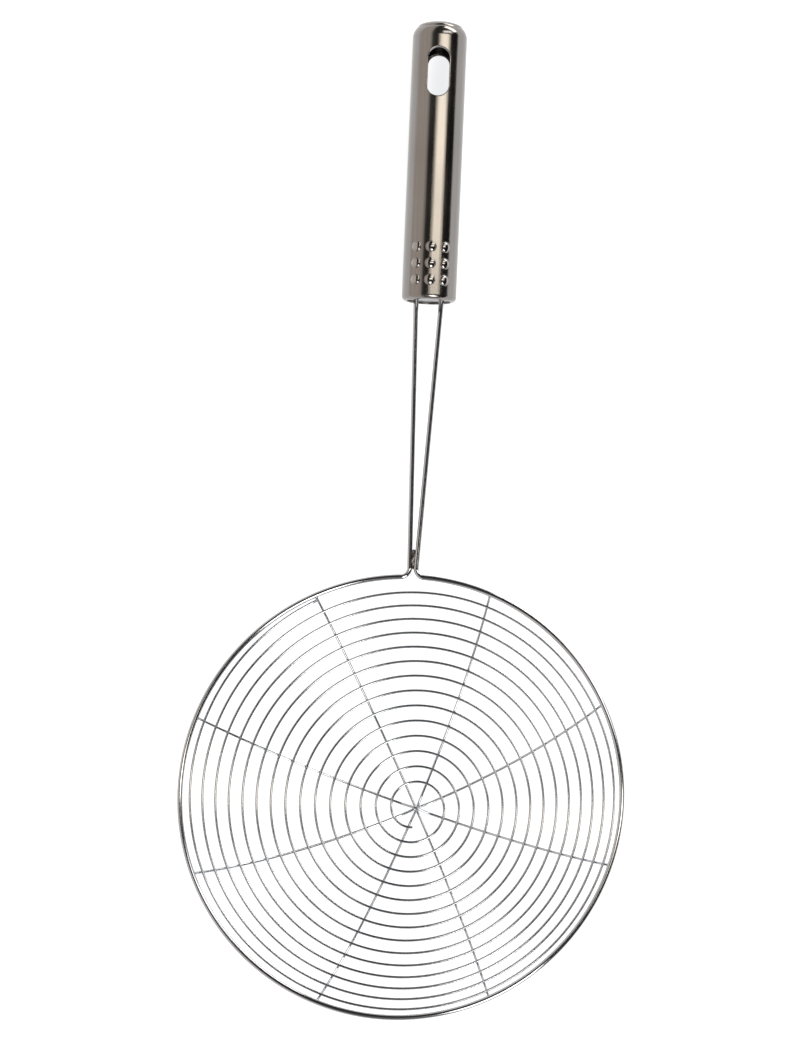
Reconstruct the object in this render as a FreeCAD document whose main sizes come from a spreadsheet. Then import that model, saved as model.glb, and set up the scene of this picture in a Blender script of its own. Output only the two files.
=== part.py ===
import FreeCAD, Part
import math
import os
import Sketcher

# A spider skimmer: a wire basket in a ring of thick wire, on a round hollow handle.
# It lies on a table: X to the right, Y along the handle to its capped end, Z up.

Vector = FreeCAD.Vector
X_AXIS = Vector(1, 0, 0)
Y_AXIS = Vector(0, 1, 0)
Z_AXIS = Vector(0, 0, 1)

SIZES = {
    # ring, neck and legs, bent from one wire
    "ring_diameter": 165,
    "frame_wire_diameter": 2,
    "leg_length": 105,
    "leg_insert": 18,
    "leg_end_spread": 10.9,
    "leg_gap": 0.5,
    "neck_bend_radius": 3.3,
    # braze between the legs
    "neck_weld_length": 7.7,
    "neck_weld_thickness": 1.7,
    "neck_weld_end_radius": 0.6,
    "neck_weld_rise": 1.8,
    # basket: spokes below, spiral on top of them
    "bowl_depth": 37,
    "spoke_wire_diameter": 1,
    "spiral_wire_diameter": 1,
    "hub_shift_right": 2.5,
    "hub_shift_up": 0.1,
    "hub_crossing_reach": 6.5,
    "spiral_shift_right": 1.8,
    "spiral_shift_up": 0.1,
    "spiral_turns": 14.4265,
    "spiral_start_radius": 7.2,
    "spiral_rim_gap": 1,
    # handle
    "handle_diameter": 20.6,
    "handle_wall": 0.8,
    "handle_length": 105.6,
    "handle_roll_radius": 1.8,
    "handle_lip": 0.3,
    "handle_top_radius": 5.4,
    "handle_turn": 6,
    "slot_length": 19.4,
    "slot_width": 8.9,
    "slot_from_top": 9.7,
    "slot_lip_thickness": 0.5,
    "slot_lip_depth": 1.7,
    "bump_diameter": 4.4,
    "bump_height": 0.8,
    "bump_spacing": 6.25,
    "bump_from_end": 7.2,
    "bump_angle": 32.5,
    "cap_inset": 1.6,
    "cap_height": 1.2,
    "cap_rise": 0.73,
    "cap_edge_radius": 2,
    "cap_spigot_length": 4,
    "plug_thickness": 2,
    "leg_weld_width": 1.1,
    "leg_weld_height": 1.4,
    # clearances
    "weld_gap": 0.05,
    "seat_gap": 0.02,
    "overrun": 2,
}

# Where each spoke ends on the ring, in degrees from +X, and its place in the pile at the hub,
# counted in wire diameters from the bowl's own surface.
SPOKES = [
    {"tips": (26.6, 203.6), "pile_share": 1},
    {"tips": (68.9, 251.4), "pile_share": -1},
    {"tips": (116.1, 296.9), "pile_share": 0},
    {"tips": (161.8, 343.9), "pile_share": 2},
]
BUMP_ROWS = 3
BUMP_COLUMNS = 3
SPANS_PER_TURN = 4

doc = FreeCAD.newDocument("spider_skimmer")
sheet = doc.addObject("Spreadsheet::Sheet", "Sizes")
for row, (alias, value) in enumerate(SIZES.items(), start=1):
    sheet.set(f"A{row}", alias)
    sheet.set(f"B{row}", str(value))
    sheet.setAlias(f"B{row}", alias)
doc.recompute()


def size(alias):
    """The number in a named cell."""
    return float(getattr(sheet, alias))


# Derived places. The bowl is part of a ball through the ring and the hub.
frame_radius = size("frame_wire_diameter") / 2
ring_radius = size("ring_diameter") / 2 - frame_radius
spoke_radius = size("spoke_wire_diameter") / 2
spiral_radius = size("spiral_wire_diameter") / 2
handle_radius = size("handle_diameter") / 2
bore_radius = handle_radius - size("handle_wall")
ball_radius = (ring_radius ** 2 + size("bowl_depth") ** 2) / (2 * size("bowl_depth"))
ball_height = ball_radius - size("bowl_depth")
ring_angle = math.atan2(ring_radius, ball_height)
ring_reach = size("leg_length") + size("ring_diameter") / 2

# The handle lies flat on the table and the bowl rests on its round bottom, so the wire frame rises.
rest_ratio = (ball_radius + spoke_radius - handle_radius) / math.hypot(ring_reach, ball_height)
pitch = math.asin(rest_ratio) - math.atan2(ball_height, ring_reach)
top_end = size("handle_length") + size("cap_height")
bowl_end = (ring_reach + ring_radius) * math.cos(pitch) + frame_radius
handle_end = Vector(0, (bowl_end - top_end) / 2, handle_radius)
ring_centre = handle_end + Vector(0, -ring_reach * math.cos(pitch), ring_reach * math.sin(pitch))
frame_place = FreeCAD.Placement(ring_centre, FreeCAD.Rotation(X_AXIS, -math.degrees(pitch)))

# Handle pieces are drawn along their own Z; the slot faces their own X.
upright = FreeCAD.Rotation(Vector(1, 1, 1), -120)
turned = FreeCAD.Rotation(Y_AXIS, size("handle_turn")) * upright
handle_place = FreeCAD.Placement(handle_end, turned)
cap_place = FreeCAD.Placement(handle_end + Y_AXIS * size("handle_length"), turned)
plug_place = FreeCAD.Placement(handle_end + Y_AXIS * (size("handle_wall") + size("seat_gap")), upright)


def new_body(label, placement):
    """An empty body with its label and place."""
    body = doc.addObject("PartDesign::Body", label)
    body.Label = label
    body.Placement = placement
    return body


def origin_part(body, role):
    """One of a body's own origin planes or axes."""
    return next(item for item in body.Origin.OriginFeatures if item.Role == role)


def new_sketch(body, role, name):
    """A sketch on one of the body's origin planes."""
    sketch = body.newObject("Sketcher::SketchObject", name)
    sketch.AttachmentSupport = [(origin_part(body, role), "")]
    sketch.MapMode = "FlatFace"
    return sketch


def dimension(sketch, kind, references, value, expression):
    """A driving dimension that starts at a value and is bound to named sizes."""
    index = sketch.addConstraint(Sketcher.Constraint(kind, *references, value))
    sketch.setExpression(f"Constraints[{index}]", expression)


def add_cylinder(body, kind, name, radius, height, base):
    """A round feature along the body's Z, starting at height base."""
    feature = body.newObject(f"PartDesign::{kind}Cylinder", name)
    feature.setExpression("Radius", radius)
    feature.setExpression("Height", height)
    feature.setExpression("Placement.Base.z", base)
    doc.recompute()
    return feature


def round_edges(body, base, name, radius, chosen):
    """Round the circular edges of a feature that the test picks by radius and height."""
    names = []
    for number, edge in enumerate(base.Shape.Edges, start=1):
        if edge.Degenerated or edge.Curve.TypeId != "Part::GeomCircle":
            continue
        if chosen(edge.Curve.Radius, edge.Curve.Center.z):
            names.append(f"Edge{number}")
    fillet = body.newObject("PartDesign::Fillet", name)
    fillet.Base = (base, names)
    fillet.setExpression("Radius", radius)
    doc.recompute()
    return fillet


def near(value, wanted):
    """Equal to within a millionth of the handle's size."""
    return abs(value - wanted) < handle_radius * 1e-6


def frame_body(label, radius, radius_expression):
    """The bent frame wire: leg, neck bend, ring, neck bend, leg, drawn in the ring's own plane."""
    body = new_body(label, frame_place)
    bend = size("neck_bend_radius")
    leg_x = size("leg_gap") / 2 + frame_radius
    leg_top = ring_reach + size("leg_insert")
    end_x = size("leg_end_spread") / 2
    bend_x = leg_x + bend
    bend_y = math.sqrt((ring_radius + bend) ** 2 - bend_x ** 2)
    touch = Vector(bend_x, bend_y, 0) * (ring_radius / (ring_radius + bend))
    half_opening = math.atan2(touch.x, touch.y)
    path = new_sketch(body, "XY_Plane", label + "_path")
    left_leg = path.addGeometry(Part.LineSegment(Vector(-end_x, leg_top, 0), Vector(-leg_x, bend_y, 0)))
    left_circle = Part.Circle(Vector(-bend_x, bend_y, 0), Z_AXIS, bend)
    left_bend = path.addGeometry(Part.ArcOfCircle(left_circle, -math.pi / 2 + half_opening, 0))
    ring_circle = Part.Circle(Vector(0, 0, 0), Z_AXIS, ring_radius)
    ring_start = math.pi / 2 + half_opening
    ring_end = ring_start + 2 * (math.pi - half_opening)
    ring = path.addGeometry(Part.ArcOfCircle(ring_circle, ring_start, ring_end))
    right_circle = Part.Circle(Vector(bend_x, bend_y, 0), Z_AXIS, bend)
    right_bend = path.addGeometry(Part.ArcOfCircle(right_circle, math.pi, 3 * math.pi / 2 - half_opening))
    right_leg = path.addGeometry(Part.LineSegment(Vector(leg_x, bend_y, 0), Vector(end_x, leg_top, 0)))
    start, end, centre, origin, vertical = 1, 2, 3, -1, -2
    path.addConstraint(Sketcher.Constraint("Coincident", ring, centre, origin, start))
    path.addConstraint(Sketcher.Constraint("Tangent", left_leg, end, left_bend, end))
    path.addConstraint(Sketcher.Constraint("Tangent", left_bend, start, ring, start))
    path.addConstraint(Sketcher.Constraint("Tangent", ring, end, right_bend, end))
    path.addConstraint(Sketcher.Constraint("Tangent", right_bend, start, right_leg, start))
    path.addConstraint(Sketcher.Constraint("Symmetric", left_leg, start, right_leg, end, vertical))
    path.addConstraint(Sketcher.Constraint("Symmetric", left_leg, end, right_leg, start, vertical))
    ring_half = "Sizes.ring_diameter / 2 - Sizes.frame_wire_diameter / 2"
    reach = "Sizes.leg_length + Sizes.ring_diameter / 2 + Sizes.leg_insert"
    gap = "Sizes.leg_gap + Sizes.frame_wire_diameter"
    dimension(path, "Radius", (ring,), ring_radius, ring_half)
    dimension(path, "Radius", (left_bend,), bend, "Sizes.neck_bend_radius")
    dimension(path, "DistanceX", (left_leg, start, right_leg, end), 2 * end_x, "Sizes.leg_end_spread")
    dimension(path, "DistanceX", (left_leg, end, right_leg, start), 2 * leg_x, gap)
    dimension(path, "DistanceY", (origin, start, right_leg, end), leg_top, reach)
    section = new_sketch(body, "XZ_Plane", label + "_section")
    section.setExpression("AttachmentOffset.Base.z", f"-({reach})")
    circle = section.addGeometry(Part.Circle(Vector(-end_x, 0, 0), Z_AXIS, radius))
    section.addConstraint(Sketcher.Constraint("PointOnObject", circle, centre, -1))
    dimension(section, "DistanceX", (circle, centre, origin, start), end_x, "Sizes.leg_end_spread / 2")
    dimension(section, "Radius", (circle,), radius, radius_expression)
    doc.recompute()
    pipe = body.newObject("PartDesign::AdditivePipe", label + "_pipe")
    pipe.Profile = section
    pipe.Spine = (path, [f"Edge{number}" for number in range(1, path.GeometryCount + 1)])
    doc.recompute()
    return body


frame_wire = frame_body("frame_wire", frame_radius, "Sizes.frame_wire_diameter / 2")
frame_room = frame_body(
    "frame_wire_room", frame_radius + size("weld_gap"), "Sizes.frame_wire_diameter / 2 + Sizes.weld_gap"
)

# The braze fills the crotch between the legs, so it is shaped by the wire that it holds.
neck_base = size("ring_diameter") / 2 + size("neck_weld_rise")
neck_place = frame_place * FreeCAD.Placement(Vector(0, neck_base, 0), upright)
neck_slug = new_body("neck_slug", neck_place)
neck_rod = add_cylinder(
    neck_slug, "Additive", "neck_rod", "Sizes.neck_weld_thickness / 2", "Sizes.neck_weld_length", "0"
)
round_edges(neck_slug, neck_rod, "neck_ends", "Sizes.neck_weld_end_radius", lambda radius, height: True)
neck_weld = doc.addObject("Part::Cut", "neck_weld")
neck_weld.Label = "neck_weld"
neck_weld.Base = neck_slug
neck_weld.Tool = frame_room
doc.recompute()


def arc_between(first, tangent, last):
    """The arc from first to last that leaves along tangent, or a line where they are in line."""
    chord = last - first
    across = chord - tangent * chord.dot(tangent)
    if across.Length < chord.Length * 1e-9:
        return Part.LineSegment(first, last).toShape()
    across.normalize()
    radius = chord.Length ** 2 / (2 * chord.dot(across))
    centre = first + across * radius
    outward = (first + last) / 2 - centre
    if chord.dot(tangent) < 0:
        outward = -outward
    outward.normalize()
    return Part.Arc(first, centre + outward * radius, last).toShape()


def biarc(first, first_tangent, last, last_tangent):
    """Two arcs that meet smoothly, from one point and direction to another."""
    chord = last - first
    total = first_tangent + last_tangent
    slope = 2 * chord.dot(total)
    square = 2 * (1 - first_tangent.dot(last_tangent))
    if square < 1e-9:
        reach = chord.dot(chord) / slope
    else:
        reach = (math.sqrt(slope ** 2 / 4 + square * chord.dot(chord)) - slope / 2) / square
    first_corner = first + first_tangent * reach
    last_corner = last - last_tangent * reach
    joint = (first_corner + last_corner) / 2
    joint_tangent = last_corner - first_corner
    joint_tangent.normalize()
    return [arc_between(first, first_tangent, joint), arc_between(joint, joint_tangent, last)]


def round_wire(edges, radius):
    """A round wire of one radius along a chain of arcs."""
    path = Part.Wire(edges)
    first = edges[0].FirstParameter
    start = edges[0].valueAt(first)
    tangent = edges[0].tangentAt(first)
    section = Part.Wire([Part.Circle(start, tangent, radius).toShape()])
    return path.makePipeShell([section], True, False)


def add_wire(label, edges, radius):
    """A wire bent in space, which no one sketch plane holds, in the ring's own frame."""
    wire = doc.addObject("Part::Feature", label)
    wire.Label = label
    wire.Shape = round_wire(edges, radius)
    wire.Placement = frame_place
    length = sum(edge.Length for edge in edges)
    share = wire.Shape.Volume / (math.pi * radius ** 2 * length)
    print(f"{label}: {length:.1f} mm long, volume {share:.5f} of section times length")
    return wire


# The ball's centre stands over the ring; the hub is the ball's lowest point, shifted a little.
ball_centre = Vector(0, 0, ball_height)


def lowest_shifted(right, up):
    """The turn of the ball that shifts its lowest point."""
    return FreeCAD.Rotation(Z_AXIS * -1, Vector(right, up, -ball_radius))


hub_turn = lowest_shifted(size("hub_shift_right"), size("hub_shift_up"))
spiral_turn = lowest_shifted(size("spiral_shift_right"), size("spiral_shift_up"))


def on_ball(radius, away, azimuth, ball_turn):
    """A point on a ball about the bowl's centre, at an angle away from its shifted lowest point."""
    flat = Vector(math.cos(azimuth), math.sin(azimuth), 0) * math.sin(away)
    return ball_centre + ball_turn.multVec((flat - Z_AXIS * math.cos(away)) * radius)


def ring_point(degrees):
    """Where a spoke's end meets the inside of the ring."""
    away = ring_angle - (frame_radius + size("weld_gap")) / ball_radius
    flat = Vector(math.cos(math.radians(degrees)), math.sin(math.radians(degrees)), 0) * math.sin(away)
    return ball_centre + (flat - Z_AXIS * math.cos(away)) * ball_radius


def spoke_edges(tips, pile_share):
    """An arc on the ball from rim to rim through the hub, eased over the pile of wires there."""
    hub = on_ball(ball_radius, 0, 0, hub_turn)
    first, last = ring_point(tips[0]), ring_point(tips[1])
    whole = Part.Arc(first, hub, last).toShape()
    hub_at = whole.Curve.parameter(hub)
    reach = size("hub_crossing_reach") / whole.Curve.Radius
    inner = [whole.valueAt(hub_at + turn) for turn in (-reach, reach)]
    directions = [whole.tangentAt(hub_at + turn) for turn in (-reach, 0, reach)]
    lift = ball_centre - hub
    lift.normalize()
    top = hub + lift * (pile_share * (size("spoke_wire_diameter") + size("weld_gap")))
    outer = arc_between(first, whole.tangentAt(whole.FirstParameter), inner[0])
    inward = biarc(inner[0], directions[0], top, directions[1])
    outward = biarc(top, directions[1], inner[1], directions[2])
    return [outer] + inward + outward + [arc_between(inner[1], directions[2], last)]


for number, spoke in enumerate(SPOKES, start=1):
    add_wire(f"spoke_wire_{number}", spoke_edges(spoke["tips"], spoke["pile_share"]), spoke_radius)

# The spiral rests on the spokes and winds clockwise, out from below the hub, at an even step along the bowl.
winding_radius = ball_radius - spoke_radius - spiral_radius - size("weld_gap")
spiral_turns = size("spiral_turns")
spiral_first = size("spiral_start_radius") / winding_radius
spiral_last = ring_angle - size("spiral_rim_gap") / winding_radius


def spiral_point(turn):
    """The spiral's centre line after so many turns."""
    away = spiral_first + (spiral_last - spiral_first) * turn / spiral_turns
    return on_ball(winding_radius, away, -math.pi / 2 - 2 * math.pi * turn, spiral_turn)


def spiral_direction(turn):
    """The spiral's direction, from two points close by on either side."""
    step = 1e-5
    direction = spiral_point(turn + step) - spiral_point(turn - step)
    direction.normalize()
    return direction


span_count = math.ceil(spiral_turns * SPANS_PER_TURN)
stations = [spiral_turns * number / span_count for number in range(span_count + 1)]
spiral_edges = []
for before, after in zip(stations, stations[1:]):
    spiral_edges += biarc(
        spiral_point(before), spiral_direction(before), spiral_point(after), spiral_direction(after)
    )
add_wire("spiral_wire", spiral_edges, spiral_radius)
tightest = min(edge.Curve.Radius for edge in spiral_edges)
checks_per_turn = 72
checked = [spiral_point(number / checks_per_turn) for number in range(int(spiral_turns * checks_per_turn))]
half_turn = checks_per_turn // 2
least_gap = min(
    (point - other).Length
    for number, point in enumerate(checked)
    for other in checked[number + half_turn:number + 3 * half_turn]
) - 2 * spiral_radius
print(f"spiral_wire: tightest arc {tightest:.2f} mm, least gap to itself {least_gap:.2f} mm")

# Handle tube: a rod gets its rounded ends and bumps, then its hollow and mouths, and last its hanging slot.
tube = new_body("handle_tube", handle_place)
rod = add_cylinder(tube, "Additive", "rod", "Sizes.handle_diameter / 2", "Sizes.handle_length", "0")
rolled = round_edges(
    tube, rod, "rolled_edge", "Sizes.handle_roll_radius",
    lambda radius, height: near(height, 0)
)
round_edges(
    tube, rolled, "top_shoulder", "Sizes.handle_top_radius",
    lambda radius, height: near(height, size("handle_length")) and near(radius, handle_radius)
)

# A bump is the tip of a ball sunk in the wall, wide and high as named.
bump_ball = "(Sizes.bump_diameter ^ 2 / 4 + Sizes.bump_height ^ 2) / (2 * Sizes.bump_height)"
for row in range(BUMP_ROWS):
    bump = tube.newObject("PartDesign::AdditiveSphere", f"bump_row_{row + 1}")
    bump.setExpression("Radius", bump_ball)
    sunk = f"(Sizes.handle_diameter / 2 + Sizes.bump_height - {bump_ball})"
    bump.setExpression("Placement.Base.x", f"{sunk} * cos(Sizes.bump_angle * 1 deg)")
    bump.setExpression("Placement.Base.y", f"-{sunk} * sin(Sizes.bump_angle * 1 deg)")
    bump.setExpression("Placement.Base.z", f"Sizes.bump_from_end + {row} * Sizes.bump_spacing")
    doc.recompute()
    columns = tube.newObject("PartDesign::PolarPattern", f"bump_columns_{row + 1}")
    columns.Originals = [bump]
    columns.Axis = (origin_part(tube, "Z_Axis"), [""])
    columns.setExpression("Angle", f"{BUMP_COLUMNS - 1} * Sizes.bump_angle")
    columns.Occurrences = BUMP_COLUMNS
    tube.Tip = columns
    doc.recompute()

# The hollow follows the outside at one wall thickness, round corners included.
hollow_outline = new_sketch(tube, "YZ_Plane", "hollow_outline")
low = size("handle_wall")
high = size("handle_length") - size("handle_wall")
low_bend = size("handle_roll_radius") - size("handle_wall")
high_bend = size("handle_top_radius") - size("handle_wall")
low_circle = Part.Circle(Vector(bore_radius - low_bend, low + low_bend, 0), Z_AXIS, low_bend)
high_circle = Part.Circle(Vector(bore_radius - high_bend, high - high_bend, 0), Z_AXIS, high_bend)
floor = Part.LineSegment(Vector(0, low, 0), Vector(bore_radius - low_bend, low, 0))
wall = Part.LineSegment(Vector(bore_radius, low + low_bend, 0), Vector(bore_radius, high - high_bend, 0))
roof = Part.LineSegment(Vector(bore_radius - high_bend, high, 0), Vector(0, high, 0))
axis = Part.LineSegment(Vector(0, high, 0), Vector(0, low, 0))
low_arc = Part.ArcOfCircle(low_circle, -math.pi / 2, 0)
high_arc = Part.ArcOfCircle(high_circle, 0, math.pi / 2)
for item in (floor, low_arc, wall, high_arc, roof, axis):
    hollow_outline.addGeometry(item)
for line in range(4):
    hollow_outline.addConstraint(Sketcher.Constraint("Tangent", line, 2, line + 1, 1))
hollow_outline.addConstraint(Sketcher.Constraint("Coincident", 4, 2, 5, 1))
hollow_outline.addConstraint(Sketcher.Constraint("Coincident", 5, 2, 0, 1))
hollow_outline.addConstraint(Sketcher.Constraint("PointOnObject", 4, 2, -2))
hollow_outline.addConstraint(Sketcher.Constraint("PointOnObject", 0, 1, -2))
hollow_outline.addConstraint(Sketcher.Constraint("Horizontal", 0))
hollow_outline.addConstraint(Sketcher.Constraint("Horizontal", 4))
hollow_outline.addConstraint(Sketcher.Constraint("Vertical", 2))
bore_half = "Sizes.handle_diameter / 2 - Sizes.handle_wall"
dimension(hollow_outline, "DistanceX", (-1, 1, 2, 1), bore_radius, bore_half)
dimension(hollow_outline, "DistanceY", (-1, 1, 0, 1), low, "Sizes.handle_wall")
dimension(hollow_outline, "DistanceY", (-1, 1, 4, 2), high, "Sizes.handle_length - Sizes.handle_wall")
dimension(hollow_outline, "Radius", (1,), low_bend, "Sizes.handle_roll_radius - Sizes.handle_wall")
dimension(hollow_outline, "Radius", (3,), high_bend, "Sizes.handle_top_radius - Sizes.handle_wall")
doc.recompute()
hollow = tube.newObject("PartDesign::Groove", "hollow")
hollow.Profile = hollow_outline
hollow.ReferenceAxis = (hollow_outline, ["V_Axis"])
doc.recompute()
add_cylinder(
    tube, "Subtractive", "mouth", "Sizes.handle_diameter / 2 - Sizes.handle_roll_radius - Sizes.handle_lip",
    "Sizes.handle_wall + 2 * Sizes.overrun", "-Sizes.overrun"
)
add_cylinder(
    tube, "Subtractive", "cap_mouth", "Sizes.handle_diameter / 2 - Sizes.cap_inset",
    "Sizes.handle_top_radius + Sizes.overrun", "Sizes.handle_length - Sizes.handle_top_radius"
)

# The slot's lips start as a block right across the tube, trimmed inside and outside to a short collar.
slot_middle = "Sizes.handle_length - Sizes.slot_from_top - Sizes.slot_length / 2"


def slot_outline(name, margin, margin_expression):
    """A long slot with round ends on the tube's middle plane, drawn in by a margin."""
    sketch = new_sketch(tube, "YZ_Plane", name)
    half_width = size("slot_width") / 2 - margin
    straight = size("slot_length") / 2 - size("slot_width") / 2
    middle = size("handle_length") - size("slot_from_top") - size("slot_length") / 2
    upper_circle = Part.Circle(Vector(0, middle + straight, 0), Z_AXIS, half_width)
    lower_circle = Part.Circle(Vector(0, middle - straight, 0), Z_AXIS, half_width)
    upper = sketch.addGeometry(Part.ArcOfCircle(upper_circle, 0, math.pi))
    left = sketch.addGeometry(
        Part.LineSegment(Vector(-half_width, middle + straight, 0), Vector(-half_width, middle - straight, 0))
    )
    lower = sketch.addGeometry(Part.ArcOfCircle(lower_circle, math.pi, 2 * math.pi))
    right = sketch.addGeometry(
        Part.LineSegment(Vector(half_width, middle - straight, 0), Vector(half_width, middle + straight, 0))
    )
    chain = [upper, left, lower, right]
    for item, after in zip(chain, chain[1:] + chain[:1]):
        sketch.addConstraint(Sketcher.Constraint("Tangent", item, 2, after, 1))
    sketch.addConstraint(Sketcher.Constraint("PointOnObject", upper, 3, -2))
    sketch.addConstraint(Sketcher.Constraint("PointOnObject", lower, 3, -2))
    width = f"Sizes.slot_width / 2 - ({margin_expression})"
    run = "Sizes.slot_length / 2 - Sizes.slot_width / 2"
    dimension(sketch, "Radius", (upper,), half_width, width)
    dimension(sketch, "DistanceY", (-1, 1, upper, 3), middle + straight, f"{slot_middle} + {run}")
    dimension(sketch, "DistanceY", (-1, 1, lower, 3), middle - straight, f"{slot_middle} - ({run})")
    doc.recompute()
    return sketch


lips = tube.newObject("PartDesign::Pad", "lips")
lips.Profile = slot_outline("lip_outline", 0, "0")
lips.SideType = "Symmetric"
lips.setExpression("Length", "Sizes.handle_diameter + 2 * Sizes.overrun")
doc.recompute()
add_cylinder(
    tube, "Subtractive", "lip_ends", "Sizes.handle_diameter / 2 - Sizes.slot_lip_depth",
    "Sizes.slot_length + Sizes.overrun", f"{slot_middle} - Sizes.slot_length / 2 - Sizes.overrun / 2"
)
trim_outline = new_sketch(tube, "YZ_Plane", "trim_outline")
trim_middle = size("handle_length") - size("slot_from_top") - size("slot_length") / 2
trim_half = size("slot_length") / 2 + size("overrun") / 2
trim_outer = handle_radius + 2 * size("overrun")
corners = [
    Vector(handle_radius, trim_middle - trim_half, 0),
    Vector(trim_outer, trim_middle - trim_half, 0),
    Vector(trim_outer, trim_middle + trim_half, 0),
    Vector(handle_radius, trim_middle + trim_half, 0),
]
for corner, after in zip(corners, corners[1:] + corners[:1]):
    trim_outline.addGeometry(Part.LineSegment(corner, after))
for line, kind in enumerate(("Horizontal", "Vertical", "Horizontal", "Vertical")):
    trim_outline.addConstraint(Sketcher.Constraint("Coincident", line, 2, (line + 1) % len(corners), 1))
    trim_outline.addConstraint(Sketcher.Constraint(kind, line))
trim_run = "(Sizes.slot_length / 2 + Sizes.overrun / 2)"
dimension(trim_outline, "DistanceX", (-1, 1, 0, 1), corners[0].x, "Sizes.handle_diameter / 2")
trim_reach = "Sizes.handle_diameter / 2 + 2 * Sizes.overrun"
dimension(trim_outline, "DistanceX", (-1, 1, 0, 2), trim_outer, trim_reach)
dimension(trim_outline, "DistanceY", (-1, 1, 0, 1), corners[0].y, f"{slot_middle} - {trim_run}")
dimension(trim_outline, "DistanceY", (-1, 1, 2, 2), corners[3].y, f"{slot_middle} + {trim_run}")
doc.recompute()
before_trim = tube.Shape.Volume
trim = tube.newObject("PartDesign::Groove", "lip_trim")
trim.Profile = trim_outline
trim.ReferenceAxis = (trim_outline, ["V_Axis"])
doc.recompute()
before_slot = tube.Shape.Volume
slot = tube.newObject("PartDesign::Pocket", "slot")
slot.Profile = slot_outline("slot_outline", size("slot_lip_thickness"), "Sizes.slot_lip_thickness")
slot.SideType = "Symmetric"
slot.setExpression("Length", "Sizes.handle_diameter + 2 * Sizes.overrun")
doc.recompute()
print(f"handle_tube: {before_trim:.0f} mm3 with blocks, {before_slot:.0f} trimmed, "
      f"{tube.Shape.Volume:.0f} slotted")

# Cap: a low dome let into the tube's top mouth, with a round edge that carries on the shoulder's curve.
cap = new_body("handle_cap", cap_place)
dome_outline = new_sketch(cap, "YZ_Plane", "dome_outline")
cap_radius = handle_radius - size("cap_inset") - size("seat_gap")
shoulder_reach = size("handle_top_radius") - size("cap_inset")
shoulder_rise = math.sqrt(size("handle_top_radius") ** 2 - shoulder_reach ** 2)
rim_height = size("cap_rise") + shoulder_rise - size("handle_top_radius")
crown_rise = size("cap_height") - rim_height
crown_radius = (cap_radius ** 2 + crown_rise ** 2) / (2 * crown_rise)
crown_centre = size("cap_height") - crown_radius
crown_circle = Part.Circle(Vector(0, crown_centre, 0), Z_AXIS, crown_radius)
crown_start = math.atan2(rim_height - crown_centre, cap_radius)
spigot_end = -size("cap_spigot_length")
spigot_corner = Vector(cap_radius, spigot_end, 0)
dome_outline.addGeometry(Part.LineSegment(Vector(0, spigot_end, 0), spigot_corner))
dome_outline.addGeometry(Part.LineSegment(spigot_corner, Vector(cap_radius, rim_height, 0)))
dome_outline.addGeometry(Part.ArcOfCircle(crown_circle, crown_start, math.pi / 2))
dome_outline.addGeometry(Part.LineSegment(Vector(0, size("cap_height"), 0), Vector(0, spigot_end, 0)))
dome_outline.addConstraint(Sketcher.Constraint("PointOnObject", 0, 1, -2))
for line in range(4):
    dome_outline.addConstraint(Sketcher.Constraint("Coincident", line, 2, (line + 1) % 4, 1))
dome_outline.addConstraint(Sketcher.Constraint("Horizontal", 0))
dome_outline.addConstraint(Sketcher.Constraint("Vertical", 1))
dome_outline.addConstraint(Sketcher.Constraint("Vertical", 3))
dome_outline.addConstraint(Sketcher.Constraint("PointOnObject", 2, 3, -2))
side_height = (
    "Sizes.cap_spigot_length + Sizes.cap_rise + sqrt(Sizes.handle_top_radius ^ 2"
    " - (Sizes.handle_top_radius - Sizes.cap_inset) ^ 2) - Sizes.handle_top_radius"
)
cap_half = "Sizes.handle_diameter / 2 - Sizes.cap_inset - Sizes.seat_gap"
dimension(dome_outline, "DistanceX", (-1, 1, 0, 2), cap_radius, cap_half)
dimension(dome_outline, "DistanceY", (0, 1, -1, 1), -spigot_end, "Sizes.cap_spigot_length")
dimension(dome_outline, "DistanceY", (-1, 1, 2, 2), size("cap_height"), "Sizes.cap_height")
dimension(dome_outline, "DistanceY", (1, 1, 1, 2), rim_height - spigot_end, side_height)
doc.recompute()
dome = cap.newObject("PartDesign::Revolution", "dome")
dome.Profile = dome_outline
dome.ReferenceAxis = (dome_outline, ["V_Axis"])
doc.recompute()
round_edges(
    cap, dome, "rim_edge", "Sizes.cap_edge_radius",
    lambda radius, height: near(height, rim_height) and near(radius, cap_radius)
)

# Plug: a disc behind the rolled edge, holed for the legs where they pass.
plug = new_body("handle_plug", plug_place)
disc = add_cylinder(
    plug, "Additive", "disc", "Sizes.handle_diameter / 2 - Sizes.handle_wall - Sizes.seat_gap",
    "Sizes.plug_thickness", "0"
)
round_edges(
    plug, disc, "disc_edge", "Sizes.handle_roll_radius - Sizes.handle_wall",
    lambda radius, height: near(height, 0)
)
leg_start = Vector(size("leg_end_spread") / 2, ring_reach + size("leg_insert"), 0)
leg_finish = frame_wire.Group[0].getPoint(4, 1)
leg_places = []
for side in (-1, 1):
    upper = frame_place.multVec(Vector(side * leg_start.x, leg_start.y, 0))
    lower = frame_place.multVec(Vector(side * leg_finish.x, leg_finish.y, 0))
    leg_places.append(FreeCAD.Placement(lower, FreeCAD.Rotation(Z_AXIS, upper - lower)))
leg_run = math.hypot(leg_start.x - leg_finish.x, leg_start.y - leg_finish.y)
for number, place in enumerate(leg_places, start=1):
    hole = plug.newObject("PartDesign::SubtractiveCylinder", f"leg_hole_{number}")
    hole.setExpression("Radius", "Sizes.frame_wire_diameter / 2 + Sizes.weld_gap")
    hole.Height = leg_run
    hole.Placement = plug_place.inverse() * place
    doc.recompute()

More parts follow.
